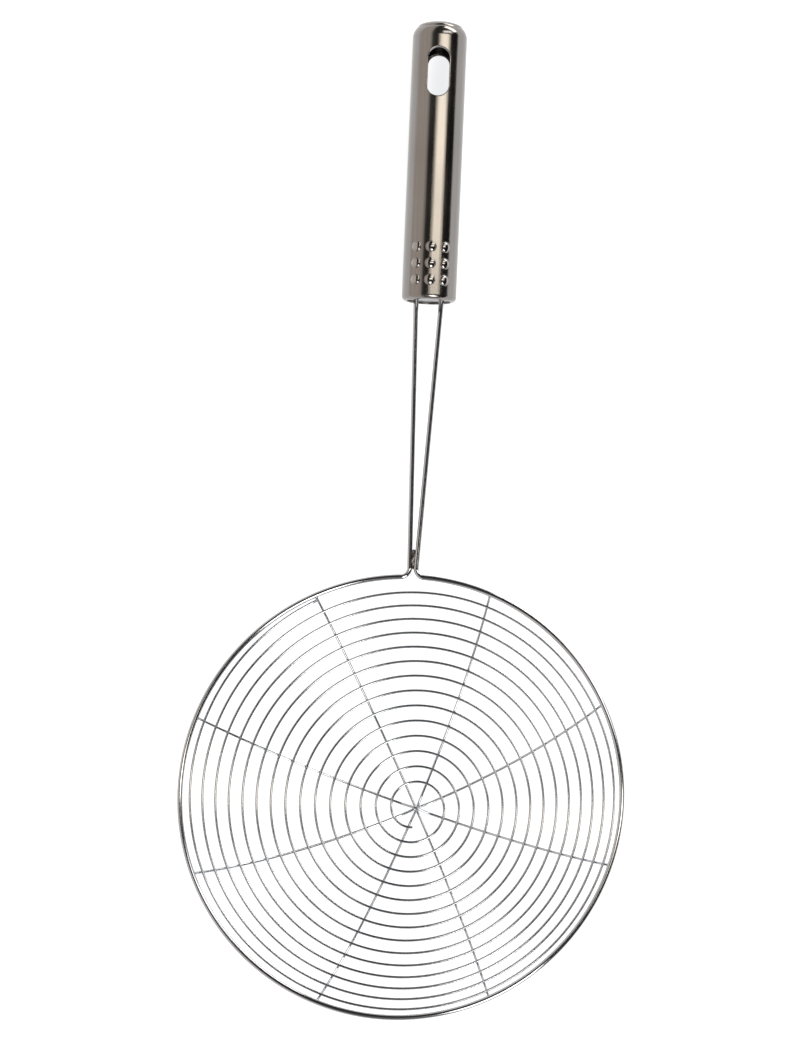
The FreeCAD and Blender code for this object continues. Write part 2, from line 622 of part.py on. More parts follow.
# Weld beads round the legs on the plug's inner face.
weld_height = plug_place.Base.y + size("plug_thickness") + size("weld_gap")
beads = []
for number, place in enumerate(leg_places, start=1):
    along = place.Rotation.multVec(Z_AXIS)
    foot = place.Base + along * ((weld_height - place.Base.y) / along.y)
    cone = doc.addObject("Part::Cone", f"bead_cone_{number}")
    cone.setExpression("Radius1", "Sizes.frame_wire_diameter / 2 + Sizes.leg_weld_width")
    cone.setExpression("Radius2", "Sizes.frame_wire_diameter / 2 + Sizes.leg_weld_width / 3")
    cone.setExpression("Height", "Sizes.leg_weld_height")
    cone.Placement = FreeCAD.Placement(foot, upright)
    room = doc.addObject("Part::Cylinder", f"bead_room_{number}")
    room.setExpression("Radius", "Sizes.frame_wire_diameter / 2 + Sizes.weld_gap")
    room.Height = leg_run
    room.Placement = place
    bead = doc.addObject("Part::Cut", f"bead_{number}")
    bead.Base = cone
    bead.Tool = room
    beads.append(bead)
leg_welds = doc.addObject("Part::Compound", "leg_welds")
leg_welds.Label = "leg_welds"
leg_welds.Links = beads
doc.recompute()

# Every object has to be sound before any piece is written.
labels = ["frame_wire", "neck_weld"] + [f"spoke_wire_{number}" for number in range(1, len(SPOKES) + 1)]
labels += ["spiral_wire", "handle_tube", "handle_cap", "handle_plug", "leg_welds"]
for item in doc.Objects:
    if "Invalid" in item.State or "Error" in item.State:
        raise RuntimeError(f"{item.Label} failed: {item.State}")
pieces = [doc.getObjectsByLabel(label)[0] for label in labels]
for piece in pieces:
    if piece.Shape.isNull() or not piece.Shape.isValid():
        raise RuntimeError(f"{piece.Label} has no sound shape")
os.makedirs("parts", exist_ok=True)
for piece in pieces:
    piece.Shape.exportStep(f"parts/{piece.Label}.step")
    box = piece.Shape.optimalBoundingBox(True, False)
    print(f"{piece.Label}: {len(piece.Shape.Solids)} solid, {piece.Shape.Volume:.1f} mm3, "
          f"{box.XLength:.1f} x {box.YLength:.1f} x {box.ZLength:.1f} mm, lowest {box.ZMin:.2f} mm")
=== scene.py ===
# %% [markdown]
# # A spider skimmer
# The skimmer is a kitchen tool of stainless steel: a wire basket in a ring of thicker wire, whose two ends run
# as legs into a hollow handle. The packed solids come in as a fixed frame, in metres, with X to the right, Y along
# the handle and Z up. Every piece made here is worked out in that frame, in millimetres, so nothing has to be
# fitted by eye.

# %% Load the solids
import math

import bmesh
import bpy
import numpy as np
from mathutils import Matrix


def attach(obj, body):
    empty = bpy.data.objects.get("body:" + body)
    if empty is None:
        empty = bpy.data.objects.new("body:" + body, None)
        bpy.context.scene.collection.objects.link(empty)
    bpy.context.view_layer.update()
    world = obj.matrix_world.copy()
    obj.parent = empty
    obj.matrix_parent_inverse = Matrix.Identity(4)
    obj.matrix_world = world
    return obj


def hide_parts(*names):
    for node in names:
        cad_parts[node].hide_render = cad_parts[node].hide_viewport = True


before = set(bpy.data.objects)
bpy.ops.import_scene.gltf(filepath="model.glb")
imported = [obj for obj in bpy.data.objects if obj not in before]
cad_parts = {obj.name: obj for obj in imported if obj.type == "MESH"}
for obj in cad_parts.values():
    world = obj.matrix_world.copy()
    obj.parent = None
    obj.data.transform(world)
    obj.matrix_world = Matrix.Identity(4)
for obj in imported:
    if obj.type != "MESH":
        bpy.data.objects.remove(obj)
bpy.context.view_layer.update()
MM = 0.001
print("solids:", ", ".join(sorted(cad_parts)))

# %% [markdown]
# The photograph looks almost straight down, from far enough away that the handle and the bowl keep nearly one scale.
# A camera could be aimed by eye with a constraint. Here its three axes are written out as rows, right, up and back,
# because they come from matching the ring, the hub and the handle's two ends, and a long lens gives the same mild
# perspective. The Standard view transform keeps colours as they are written.

# %% The camera
CAMERA_PLACE = (152.27 * MM, -94.768 * MM, 1426.978 * MM)
CAMERA_AXES = (
    (0.993106, 0.04288672, -0.10909267),
    (-0.03557219, 0.99704183, 0.06813374),
    (0.11169198, -0.06378336, 0.9916938),
)
LENS_MM = 130.9

camera_data = bpy.data.cameras.new("camera")
camera_data.lens = LENS_MM
camera = bpy.data.objects.new("camera", camera_data)
camera.matrix_world = Matrix.Translation(CAMERA_PLACE) @ Matrix(CAMERA_AXES).transposed().to_4x4()
bpy.context.scene.collection.objects.link(camera)
bpy.context.scene.camera = camera
bpy.context.scene.view_settings.view_transform = "Standard"
print("camera height in m:", round(camera.location.z, 3))

# %% [markdown]
# Every finish below is a small sum: so much streak, so much tint, one minus a mask. Nodes could be added and linked
# one by one, but the sum is then hard to see. This class wraps a node's output, so that plus, minus and times write
# Math nodes, and one method adds any other node: its settings first, then the values or links of its sockets.

# %% Sums of shader values
class Value:
    """One output of a shader node, or the bare start of a node tree."""

    def __init__(self, tree, output=None):
        self.tree = tree
        self.output = output

    def add(self, kind, settings=None, sockets=None, out=0):
        """Add a node: its settings first, then values or links for its sockets. Returns one of its outputs."""
        node = self.tree.nodes.new(kind)
        for name, setting in (settings or {}).items():
            if name == "stops":
                set_stops(node.color_ramp, setting)
            else:
                setattr(node, name, setting)
        for name, given in (sockets or {}).items():
            if isinstance(given, Value):
                self.tree.links.new(given.output, node.inputs[name])
            else:
                node.inputs[name].default_value = given
        return Value(self.tree, node.outputs[out] if len(node.outputs) else None)

    def other(self, name):
        """Another output of the same node."""
        return Value(self.tree, self.output.node.outputs[name])

    def math(self, operation, first, second):
        """A Math node on two values or numbers."""
        return self.add("ShaderNodeMath", {"operation": operation}, {0: first, 1: second})

    def __add__(self, number):
        return self.math("ADD", self, number)

    def __sub__(self, number):
        return self.math("SUBTRACT", self, number)

    def __rsub__(self, number):
        return self.math("SUBTRACT", number, self)

    def __mul__(self, number):
        return self.math("MULTIPLY", self, number)

    def share(self, low, high):
        """How far this value is on its way from low to high, from 0 to 1."""
        return self.add("ShaderNodeMapRange", {}, {"Value": self, "From Min": low, "From Max": high})

    def between(self, first, second):
        """A colour between two others: the first where this value is 0, the second where it is 1.
        The colour sockets of a Mix node are numbers 6 and 7, and its colour output is number 2."""
        colours = {0: self, 6: first, 7: second}
        return self.add("ShaderNodeMix", {"data_type": "RGBA"}, colours, out=2)


def set_stops(ramp, stops):
    """Give a colour ramp its stops, pairs of place and colour in rising order."""
    ends = (ramp.elements[0], ramp.elements[1])
    for element, (place, colour) in zip(ends, (stops[0], stops[-1])):
        element.position = place
        element.color = (*colour, 1)
    for place, colour in stops[1:-1]:
        ramp.elements.new(place).color = (*colour, 1)


def new_finish(name):
    """An empty material and the start of its node tree."""
    material = bpy.data.materials.new(name)
    material.use_nodes = True
    material.node_tree.nodes.clear()
    return material, Value(material.node_tree)


print("methods of a value:", [name for name, part in vars(Value).items() if callable(part)])

# %% [markdown]
# The skimmer lies on a plain white table. A table could be lit until it turns white, but that much light would bleach
# the steel. So the table is pale paint that also glows faintly, only for rays that come from the camera or by way of
# a shiny surface: it looks white and shows as white in the metal, and it still takes the soft shadow of the wires.

# %% The table
TABLE_HALF = 40.0
TABLE_DROP = 0.05 * MM
TABLE_PAINT = (0.5, 0.5, 0.5, 1)
TABLE_GLOW = (0.80, 0.815, 0.835, 1)

table_paint, start = new_finish("table_paint")
camera_ray = start.add("ShaderNodeLightPath", out="Is Camera Ray")
shiny_ray = start.math("MAXIMUM", camera_ray.other("Is Glossy Ray"), camera_ray.other("Is Transmission Ray"))
seen = start.math("MAXIMUM", camera_ray, shiny_ray)
paint = start.add("ShaderNodeBsdfDiffuse", {}, {"Color": TABLE_PAINT})
glow = start.add("ShaderNodeEmission", {}, {"Color": TABLE_GLOW, "Strength": 1.0})
both = start.add("ShaderNodeAddShader", {}, {0: paint, 1: glow})
surface = start.add("ShaderNodeMixShader", {}, {0: seen, 1: paint, 2: both})
start.add("ShaderNodeOutputMaterial", {}, {"Surface": surface})

corners = np.array([(-1, -1), (1, -1), (1, 1), (-1, 1)]) * TABLE_HALF
table_mesh = bpy.data.meshes.new("table")
table_mesh.from_pydata(np.column_stack([corners, np.full(4, -TABLE_DROP)]), [], [(0, 1, 2, 3)])
table_mesh.materials.append(table_paint)
table = bpy.data.objects.new("table", table_mesh)
bpy.context.scene.collection.objects.link(table)
print("table glow:", TABLE_GLOW[:3])

# %% [markdown]
# Steel is a mirror, so the room is most of what it shows. In the photograph the handle has a bright warm stripe, a
# thin dark line left of it, a broad dark band on the right and even warm grey on the left: a soft lamp overhead
# towards the right, a pale wall on the left, and dark in between. Walls could be built for this, but the world can
# give them by the angle of a ray from straight up towards the right. Wires that run crosswise show only the narrow
# strip of room in front of them and behind, and their near side is grey, so the strip in front is lighter. A thin
# pale backdrop closes the horizon.

# %% The room
WALL = (0.98, 0.88, 0.80)
GAP = (0.05, 0.048, 0.045)
DARK = (0.02, 0.02, 0.018)
NEAR_SIDE = (0.26, 0.255, 0.25, 1)
BACKDROP = (0.95, 0.95, 0.96, 1)
ROOM_STOPS = [(-180, WALL), (-34, WALL), (-22, GAP), (46, GAP), (54, DARK), (180, DARK)]
NEAR_RANGE, ASIDE_RANGE, HORIZON_RANGE = (-0.15, -0.35), (0.1, 0.4), (0.0, 0.02)

world = bpy.data.worlds.new("room")
bpy.context.scene.world = world
world.use_nodes = True
world.node_tree.nodes.clear()
room = Value(world.node_tree)
ray = room.add("ShaderNodeTexCoord", out="Generated")
ray_x = room.add("ShaderNodeSeparateXYZ", {}, {0: ray}, out="X")
ray_y, ray_z = ray_x.other("Y"), ray_x.other("Z")
turn_share = room.math("ARCTAN2", ray_x, ray_z) * (0.5 / math.pi) + 0.5
stops = [((degrees + 180) / 360, colour) for degrees, colour in ROOM_STOPS]
walls = room.add("ShaderNodeValToRGB", {"stops": stops}, {0: turn_share})
near = ray_y.share(*NEAR_RANGE)
aside = room.math("ABSOLUTE", ray_x, 0).share(*ASIDE_RANGE)
shaded = (near * (1 - aside)).between(walls, NEAR_SIDE)
sky = ray_z.share(*HORIZON_RANGE).between(BACKDROP, shaded)
light = room.add("ShaderNodeBackground", {}, {"Color": sky, "Strength": 1.0})
room.add("ShaderNodeOutputWorld", {}, {"Surface": light})
print("angles of the room's walls:", [degrees for degrees, colour in ROOM_STOPS])

# %% [markdown]
# Soft area lamps light the skimmer, as in a small studio. A soft box is brighter in its middle than at its edge: a
# wide lamp overhead to the right, with a smaller one in front of it, gives the stripe along the handle and its soft
# sides. An upper lamp carries the stripe on over the handle's shoulder, a low one behind gives the glint at the cap's
# seam, and one in front gives the domes and the rolled edge their bright spots. Each row holds a lamp's place in
# metres, its turn in degrees, its size, its brightness and its colour. The power that a lamp needs is its brightness
# times pi times its area, so only the brightness is chosen.

# %% The lamps
WARM, WHITE = (1.0, 0.92, 0.79), (1.0, 0.97, 0.92)
LAMPS = {
    "wide_lamp": ((1.54, 0.74, 3.02), (0.0, 27.0, 0.0), (3.02, 0.47), 2.5, WARM),
    "bright_lamp": ((1.36, 0.67, 2.66), (0.0, 27.0, 0.0), (1.70, 0.40), 2.4, WARM),
    "upper_lamp": ((2.0, 2.15, 2.35), (0.0, 38.0, 0.0), (2.20, 1.20), 3.2, WHITE),
    "low_lamp": ((1.28, 1.96, 0.33), (-84.0, 0.0, -33.0), (1.70, 0.60), 7.0, WHITE),
    "front_lamp": ((0.66, -1.18, 1.40), (45.6, 0.0, 27.0), (0.78, 1.25), 7.0, WHITE),
}

for name, (place, turn, size, brightness, colour) in LAMPS.items():
    lamp_data = bpy.data.lights.new(name, "AREA")
    lamp_data.shape = "RECTANGLE"
    lamp_data.size, lamp_data.size_y = size
    lamp_data.color = colour
    lamp_data.energy = brightness * math.pi * size[0] * size[1]
    lamp = bpy.data.objects.new(name, lamp_data)
    lamp.location = place
    lamp.rotation_euler = np.radians(turn)
    lamp.visible_camera = False
    bpy.context.scene.collection.objects.link(lamp)
    print(name, "power in W:", round(lamp_data.energy, 2))

# %% [markdown]
# Every new piece is a surface on a grid: rows one way, columns the other. The points are worked out as whole arrays.
# A grid that closes on itself repeats its first column at the end, and one that closes to a pole repeats one point;
# merging points that meet then closes the seams and poles, and lets several grids join into one skin. A positive
# volume shows that the faces point outwards.

# %% From grids to a piece
JOIN_DISTANCE = 1e-6


def grid_faces(rows, columns):
    """Corner numbers of a grid's quads: each point with its right neighbour and the two above them."""
    number = np.arange(rows * columns).reshape(rows, columns)
    corners = (number[:-1, :-1], number[:-1, 1:], number[1:, 1:], number[1:, :-1])
    return np.stack(corners, axis=-1).reshape(-1, 4)


def make_piece(name, nodes, grids, heat=None):
    """Join grids of points in mm into one smooth closed mesh that stands for the named solids."""
    sizes = np.array([grid.shape[0] * grid.shape[1] for grid in grids])
    firsts = np.concatenate([[0], np.cumsum(sizes)[:-1]])
    points = np.concatenate([grid.reshape(-1, 3) for grid in grids]) * MM
    faces = np.concatenate([grid_faces(*grid.shape[:2]) + first for grid, first in zip(grids, firsts)])
    mesh = bpy.data.meshes.new(name)
    mesh.from_pydata(points, [], faces)
    if heat is not None:
        mesh.attributes.new("heat", "FLOAT", "POINT").data.foreach_set("value", heat.ravel().astype(np.float32))
    skin = bmesh.new()
    skin.from_mesh(mesh)
    bmesh.ops.remove_doubles(skin, verts=skin.verts, dist=JOIN_DISTANCE)
    open_edges = sum(not edge.is_manifold for edge in skin.edges)
    volume = skin.calc_volume(signed=True) / MM ** 3
    skin.to_mesh(mesh)
    skin.free()
    mesh.shade_smooth()
    piece = bpy.data.objects.new(name, mesh)
    bpy.context.scene.collection.objects.link(piece)
    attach(piece, "root")
    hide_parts(*nodes)
    print(f"{name}: {len(mesh.polygons)} faces, {volume:.1f} mm3, {open_edges} open edges")
    return piece


print("quads of a grid of 3 rows and 4 columns:", len(grid_faces(3, 4)))

# %% [markdown]
# The skimmer rests on two things: the underside of the handle and the round bottom of the bowl. The bowl is part of a
# ball through the ring and the hub, so the ring leans back by the angle at which that ball and the handle touch the
# same table. These few lines give that angle and the place of the ring, as the solids have them.

# %% How the skimmer lies
RING_RADIUS, RING_WIRE = 81.5, 1.0
BOWL_DEPTH, BASKET_WIRE = 37.0, 0.5
LEG_LENGTH, LEG_INSERT = 105.0, 18.0
HANDLE_RADIUS, HANDLE_LENGTH, CAP_HEIGHT = 10.3, 105.6, 1.2

ball_radius = (RING_RADIUS ** 2 + BOWL_DEPTH ** 2) / (2 * BOWL_DEPTH)
ball_height = ball_radius - BOWL_DEPTH
reach = LEG_LENGTH + RING_RADIUS + RING_WIRE
rest = (ball_radius + BASKET_WIRE - HANDLE_RADIUS) / math.hypot(reach, ball_height)
lean = math.asin(rest) - math.atan2(ball_height, reach)
bowl_end = (reach + RING_RADIUS) * math.cos(lean) + RING_WIRE
handle_end = np.array([0, (bowl_end - HANDLE_LENGTH - CAP_HEIGHT) / 2, HANDLE_RADIUS])
ring_centre = handle_end + reach * np.array([0, -math.cos(lean), math.sin(lean)])
ring_axes = np.array([
    [1, 0, 0],
    [0, math.cos(lean), -math.sin(lean)],
    [0, math.sin(lean), math.cos(lean)],
])


def from_ring(points):
    """Points in the ring's own frame, moved into the skimmer's frame: centre plus each number along its axis."""
    return ring_centre + points @ ring_axes


print("ring leans by", round(math.degrees(lean), 3), "degrees, centre", ring_centre.round(3))

# %% [markdown]
# All the basket is round wire. A curve with a bevel would give a tube, but its twist and its ends are hard to steer.
# Here a circle is carried along the wire's own line: at each point it stands square to the line, and one of its radii
# keeps pointing the same way, up from the ring or in towards the middle of the ball, so the tube never twists.

# %% A wire along a line
END_SHARE = 0.85


def unit(vectors):
    """Each vector divided by its length."""
    return vectors / np.linalg.norm(vectors, axis=-1, keepdims=True)


def end_rows(count):
    """Row numbers of a wire with its first and last row given twice more, for the flat ends."""
    return np.concatenate([[0, 0], np.arange(count), [count - 1, count - 1]])


def carried_wire(line, radius, up, sides):
    """A circle carried along a line: point = line + radius * (cos t * lift + sin t * across), flat ends closed.
    Along is the mean of the steps before and after, lift is up made square to along, across their product."""
    steps = unit(np.diff(line, axis=0))
    along = unit(np.vstack([steps[:1], steps[:-1] + steps[1:], steps[-1:]]))
    lift = unit(up - along * np.sum(up * along, axis=1, keepdims=True))
    across = np.cross(along, lift)
    turn = np.linspace(0, 2 * math.pi, sides + 1)[:, None]
    circle = np.cos(turn) * lift[:, None] + np.sin(turn) * across[:, None]
    rows = end_rows(len(line))
    width = np.broadcast_to(radius, len(line))[rows]
    width = width * np.concatenate([[0, END_SHARE], np.ones(len(line)), [END_SHARE, 0]])
    return line[rows][:, None] + width[:, None, None] * circle[rows]


print("rows of a wire of 4 points:", end_rows(4))

# %% [markdown]
# The frame is one thick wire: leg, tight bend at the neck, ring, bend, leg. It is bent flat, so its line is drawn in
# the ring's plane from three smooth runs, a straight, an arc and most of a half circle, and the left half mirrors the
# right. The legs spread slightly towards the handle, and the bend has to touch both leg and ring, so a few repeats of
# the same sum settle where the leg ends.

# %% The frame wire
BEND_RADIUS = 3.3
LEG_FOOT, LEG_END = 1.25, 5.45
LEG_ROWS, BEND_ROWS, RING_ROWS, FRAME_SIDES = 70, 28, 420, 24
REPEATS = 6

leg_top = reach + LEG_INSERT
leg_low = RING_RADIUS + BEND_RADIUS
for _ in range(REPEATS):
    leg_lean = math.atan2(LEG_END - LEG_FOOT, leg_top - leg_low)
    bend_x = LEG_FOOT + BEND_RADIUS * math.cos(leg_lean)
    bend_y = math.sqrt((RING_RADIUS + BEND_RADIUS) ** 2 - bend_x ** 2)
    leg_low = bend_y + BEND_RADIUS * math.sin(leg_lean)
opening = math.atan2(bend_x, bend_y)


def flat_arc(centre, radius, first, last, count):
    """Points on a circle in a plane, from one angle to another."""
    angle = np.linspace(first, last, count)
    return np.column_stack([centre[0] + radius * np.cos(angle), centre[1] + radius * np.sin(angle)])


leg = np.linspace((LEG_END, leg_top), (LEG_FOOT, leg_low), LEG_ROWS)
bend = flat_arc((bend_x, bend_y), BEND_RADIUS, math.pi - leg_lean, 1.5 * math.pi - opening, BEND_ROWS)
half_ring = flat_arc((0, 0), RING_RADIUS, math.pi / 2 - opening, -math.pi / 2, RING_ROWS)
right = np.concatenate([leg[:-1], bend[:-1], half_ring])
flat = np.concatenate([right, right[-2::-1] * (-1, 1)])
frame_line = from_ring(np.column_stack([flat, np.zeros(len(flat))]))
frame_wire = make_piece(
    "frame_wire_skin", ["frame_wire"],
    [carried_wire(frame_line, RING_WIRE, ring_axes[2], FRAME_SIDES)],
)

# %% [markdown]
# Eight arms hold the spiral, but they are only four wires: each crosses the whole bowl through the hub, where they lie
# on top of each other. A wire's line is the circle through its two ends and the hub, lifted over the pile near the
# middle by a smooth step. Its ends swell a little where they are welded into the ring.

# %% The spokes
SPOKE_TIPS = np.radians([(26.6, 203.6), (68.9, 251.4), (116.1, 296.9), (161.8, 343.9)])
PILE_PLACES = (1, -1, 0, 2)
PILE_STEP, PILE_REACH = 1.05, 6.5
RIM_BITE = 0.55
TIP_SWELL, TIP_REACH = 0.22, 0.9
HUB_SHIFT = (2.5, 0.1)
SPOKE_ROWS = 300

ball_centre = np.array([0, 0, ball_height])
hub_down = unit(np.array([*HUB_SHIFT, -ball_radius]))
hub = ball_centre + ball_radius * hub_down
rim_angle = math.atan2(RING_RADIUS, ball_height) - RIM_BITE / ball_radius


def smooth_step(share):
    """From 0 to 1 with level ends: three times the square less twice the cube."""
    share = np.clip(share, 0, 1)
    return share * share * (3 - 2 * share)


def spoke_line(tips, pile_place):
    """The circle through two rim points and the hub, cos t * first + sin t * sideways, lifted near the hub."""
    flat = np.column_stack([np.cos(tips), np.sin(tips)]) * math.sin(rim_angle)
    first, last = ball_centre + ball_radius * np.column_stack([flat, np.full(2, -math.cos(rim_angle))])
    a, b = first - hub, last - hub
    across = np.cross(a, b)
    centre = hub + np.cross((a @ a) * b - (b @ b) * a, across) / (2 * (across @ across))
    start = first - centre
    radius = np.linalg.norm(start)
    sideways = np.cross(unit(np.cross(start, hub - centre)), start)
    marks = np.array([last, hub]) - centre
    last_angle, hub_angle = np.arctan2(marks @ sideways, marks @ start) % (2 * math.pi)
    angle = np.linspace(0, last_angle, SPOKE_ROWS)
    lift = pile_place * PILE_STEP * (1 - smooth_step(np.abs(angle - hub_angle) * radius / PILE_REACH))
    line = centre + np.cos(angle)[:, None] * start + np.sin(angle)[:, None] * sideways
    return line - lift[:, None] * hub_down


spoke_lines = [spoke_line(tips, place) for tips, place in zip(SPOKE_TIPS, PILE_PLACES)]
first_steps = np.linalg.norm(np.diff(spoke_lines[0], axis=0), axis=1)
print("hub in mm:", from_ring(hub).round(2), "first spoke's length:", first_steps.sum().round(1))

# %% [markdown]
# The basket's net is a single thin wire laid on the spokes in a spiral, clockwise from just below the hub to the rim,
# with an even step. On the ball that means: the angle away from the spiral's own middle, which lies a little left of
# the hub, grows evenly with the turn. Where it is spot-welded to a spoke the steel is marked by heat, so each point
# also gets a number, 1 on a weld and fading within a millimetre, that the finish reads later.

# %% The spiral
SPIRAL_SHIFT = (1.8, 0.1)
SPIRAL_TURNS, SPIRAL_START, SPIRAL_RIM_GAP = 14.4265, 7.2, 1.0
SPIRAL_PER_TURN, WIRE_SIDES = 170, 10
WELD_GAP, WELD_REACH = 0.05, 0.8

wind_radius = ball_radius - 2 * BASKET_WIRE - WELD_GAP
turns = np.linspace(0, SPIRAL_TURNS, int(SPIRAL_TURNS * SPIRAL_PER_TURN))
first_away = SPIRAL_START / wind_radius
last_away = math.atan2(RING_RADIUS, ball_height) - SPIRAL_RIM_GAP / wind_radius
away = first_away + (last_away - first_away) * turns / SPIRAL_TURNS
compass = -math.pi / 2 - 2 * math.pi * turns
wind_down = unit(np.array([*SPIRAL_SHIFT, -ball_radius]))
wind_right = unit(np.cross([0, 1, 0], -wind_down))
wind_ahead = np.cross(-wind_down, wind_right)
sideways = np.cos(compass)[:, None] * wind_right + np.sin(compass)[:, None] * wind_ahead
spiral_line = ball_centre + wind_radius * (np.sin(away)[:, None] * sideways + np.cos(away)[:, None] * wind_down)


def nearest(line, others):
    """The distance from each point of a line to the nearest point of other lines."""
    return np.linalg.norm(line[:, None] - np.concatenate(others), axis=2).min(axis=1)


def weld_heat(distance, reach):
    """1 on a weld, fading as the bell curve of distance over reach."""
    return np.exp(-(distance / reach) ** 2)


def basket_wire(name, node, line, radius, heat):
    """A thin wire of the basket, with its heat number on every point."""
    tube = carried_wire(from_ring(line), radius, (ball_centre - line) @ ring_axes, WIRE_SIDES)
    marks = np.broadcast_to(heat[end_rows(len(line))][:, None], tube.shape[:2])
    return make_piece(name, [node], [tube], marks)


spiral_gap = nearest(spiral_line, spoke_lines) - 2 * BASKET_WIRE
basket = [basket_wire("spiral_wire_skin", "spiral_wire", spiral_line, BASKET_WIRE, weld_heat(spiral_gap, WELD_REACH))]

# %% [markdown]
# The spokes get their heat numbers from the spiral that crosses them, from their welded tips and from the hub, where
# four wires are fused together and the steel is burnt brown. Where two of these meet, the larger number counts.

# %% The spokes as wires
HUB_REACH = 2.8
CROSSING_HEAT, TIP_HEAT = 0.6, 0.7

for number, line in enumerate(spoke_lines, start=1):
    tip = np.minimum(*(np.linalg.norm(line - line[end], axis=1) for end in (0, -1)))
    crossing = weld_heat(nearest(line, [spiral_line]) - 2 * BASKET_WIRE, WELD_REACH)
    middle = weld_heat(np.linalg.norm(line - hub, axis=1), HUB_REACH)
    swollen = BASKET_WIRE + TIP_SWELL * weld_heat(tip, TIP_REACH)
    tip_heat = TIP_HEAT * weld_heat(tip, 2 * TIP_REACH)
    heat = np.maximum(np.maximum(CROSSING_HEAT * crossing, middle), tip_heat)
    basket.append(basket_wire(f"spoke_{number}_skin", f"spoke_wire_{number}", line, swollen, heat))

# %% [markdown]
# A short rough bead of braze fills the crotch where the two legs meet. It could be sculpted, but a rod whose radius
# swells and sinks with a few waves along and round it gives the same lumpy run, and is the same on every run.

# %% The braze at the neck
BEAD_LOW, BEAD_LENGTH = 84.3, 7.7
BEAD_HALF_WIDTH, BEAD_HALF_HEIGHT = 0.72, 0.86
BEAD_WAVES = ((5, 2, 0.0, 0.07), (9, -3, 1.1, 0.06), (14, 4, 2.3, 0.05), (23, 1, 0.7, 0.03))
BEAD_FILL, BEAD_BLUNTNESS = 0.9, 5
BEAD_ROWS, BEAD_SIDES = 120, 48

share = np.linspace(0, 1, BEAD_ROWS)[:, None]
turn = np.linspace(0, 2 * math.pi, BEAD_SIDES + 1)
swell = sum(
    size * np.sin(2 * math.pi * runs * share + lobes * turn + start)
    for runs, lobes, start, size in BEAD_WAVES
)
width = np.sqrt(1 - np.abs(2 * share - 1) ** BEAD_BLUNTNESS) * (BEAD_FILL + swell)
bead = np.stack([
    BEAD_HALF_WIDTH * width * np.sin(turn),
    np.broadcast_to(BEAD_LOW + BEAD_LENGTH * share, width.shape),
    BEAD_HALF_HEIGHT * width * np.cos(turn),
], axis=-1)
neck_weld = make_piece("neck_weld_skin", ["neck_weld"], [from_ring(bead)])

# %% [markdown]
# The handle is a thin tube, rolled in at its lower end and drawn in to a round shoulder at the top. Most of its skin
# is a profile turned round the axis, once up the outside and once down the inside. Angles are counted from the slot,
# which faces up and six degrees to the right.

# %% Turned parts of the handle
HANDLE_TURN = math.radians(6)
BORE_RADIUS, ROLL_RADIUS, SHOULDER_RADIUS = 9.5, 1.8, 5.4
MOUTH_RADIUS, CAP_MOUTH_RADIUS = 8.2, 8.7
COLUMNS = 180
BUMP_HEIGHTS = np.array([7.2, 13.45, 19.7])
BUMP_EDGES = np.array([4.05, 10.325, 16.575, 22.85])
SLOT_EDGES = (73.0, 99.0)
EDGE_INSIDE, EDGE_OUTSIDE = (0.25, 0.6), (0.29, 0.3)
SEAM_TURN, SEAM_DROP = 0.03, 0.22

handle_axes = np.array([
    [math.sin(HANDLE_TURN), 0, math.cos(HANDLE_TURN)],
    [math.cos(HANDLE_TURN), 0, -math.sin(HANDLE_TURN)],
    [0, 1, 0],
])
around = np.linspace(0, 2 * math.pi, COLUMNS + 1)


def on_handle(radius, turn, height):
    """Points of the handle from radius, angle from the slot and height along the axis."""
    radius, turn, height = np.broadcast_arrays(radius, turn, height)
    points = np.stack([radius * np.cos(turn), radius * np.sin(turn), height], axis=-1)
    return handle_end + points @ handle_axes


def turned(profile):
    """A profile of radius and height, turned round the handle's axis."""
    return on_handle(profile[:, :1], around, profile[:, 1:])


def soft_corner(before, corner, after, count):
    """A rounded corner: the curve with weights (1-t) squared, 2t(1-t) and t squared on its three points."""
    t = np.linspace(0, 1, count)[:, None]
    return (1 - t) ** 2 * np.array(before) + 2 * t * (1 - t) * np.array(corner) + t ** 2 * np.array(after)


roll_centre = (HANDLE_RADIUS - ROLL_RADIUS, ROLL_RADIUS)
wall = HANDLE_RADIUS - BORE_RADIUS
low_profile = np.concatenate([
    np.linspace((BORE_RADIUS, SLOT_EDGES[0]), (BORE_RADIUS, ROLL_RADIUS), 9),
    flat_arc(roll_centre, ROLL_RADIUS - wall, 0, -math.pi / 2, 9)[1:],
    soft_corner((MOUTH_RADIUS + EDGE_INSIDE[0], wall), (MOUTH_RADIUS, wall), (MOUTH_RADIUS, EDGE_INSIDE[1]), 5),
    soft_corner((MOUTH_RADIUS, EDGE_OUTSIDE[1]), (MOUTH_RADIUS, 0), (MOUTH_RADIUS + EDGE_OUTSIDE[0], 0), 6),
    flat_arc(roll_centre, ROLL_RADIUS, -math.pi / 2, 0, 20),
    [(HANDLE_RADIUS, BUMP_EDGES[0])],
])
shoulder_centre = (HANDLE_RADIUS - SHOULDER_RADIUS, HANDLE_LENGTH - SHOULDER_RADIUS)
mouth_reach = CAP_MOUTH_RADIUS - shoulder_centre[0]
outer_end = math.acos(mouth_reach / SHOULDER_RADIUS)
inner_end = math.acos(mouth_reach / (SHOULDER_RADIUS - wall))
outer_arc = flat_arc(shoulder_centre, SHOULDER_RADIUS, 0, outer_end - SEAM_TURN, 26)
mouth_top = shoulder_centre[1] + SHOULDER_RADIUS * math.sin(outer_end)
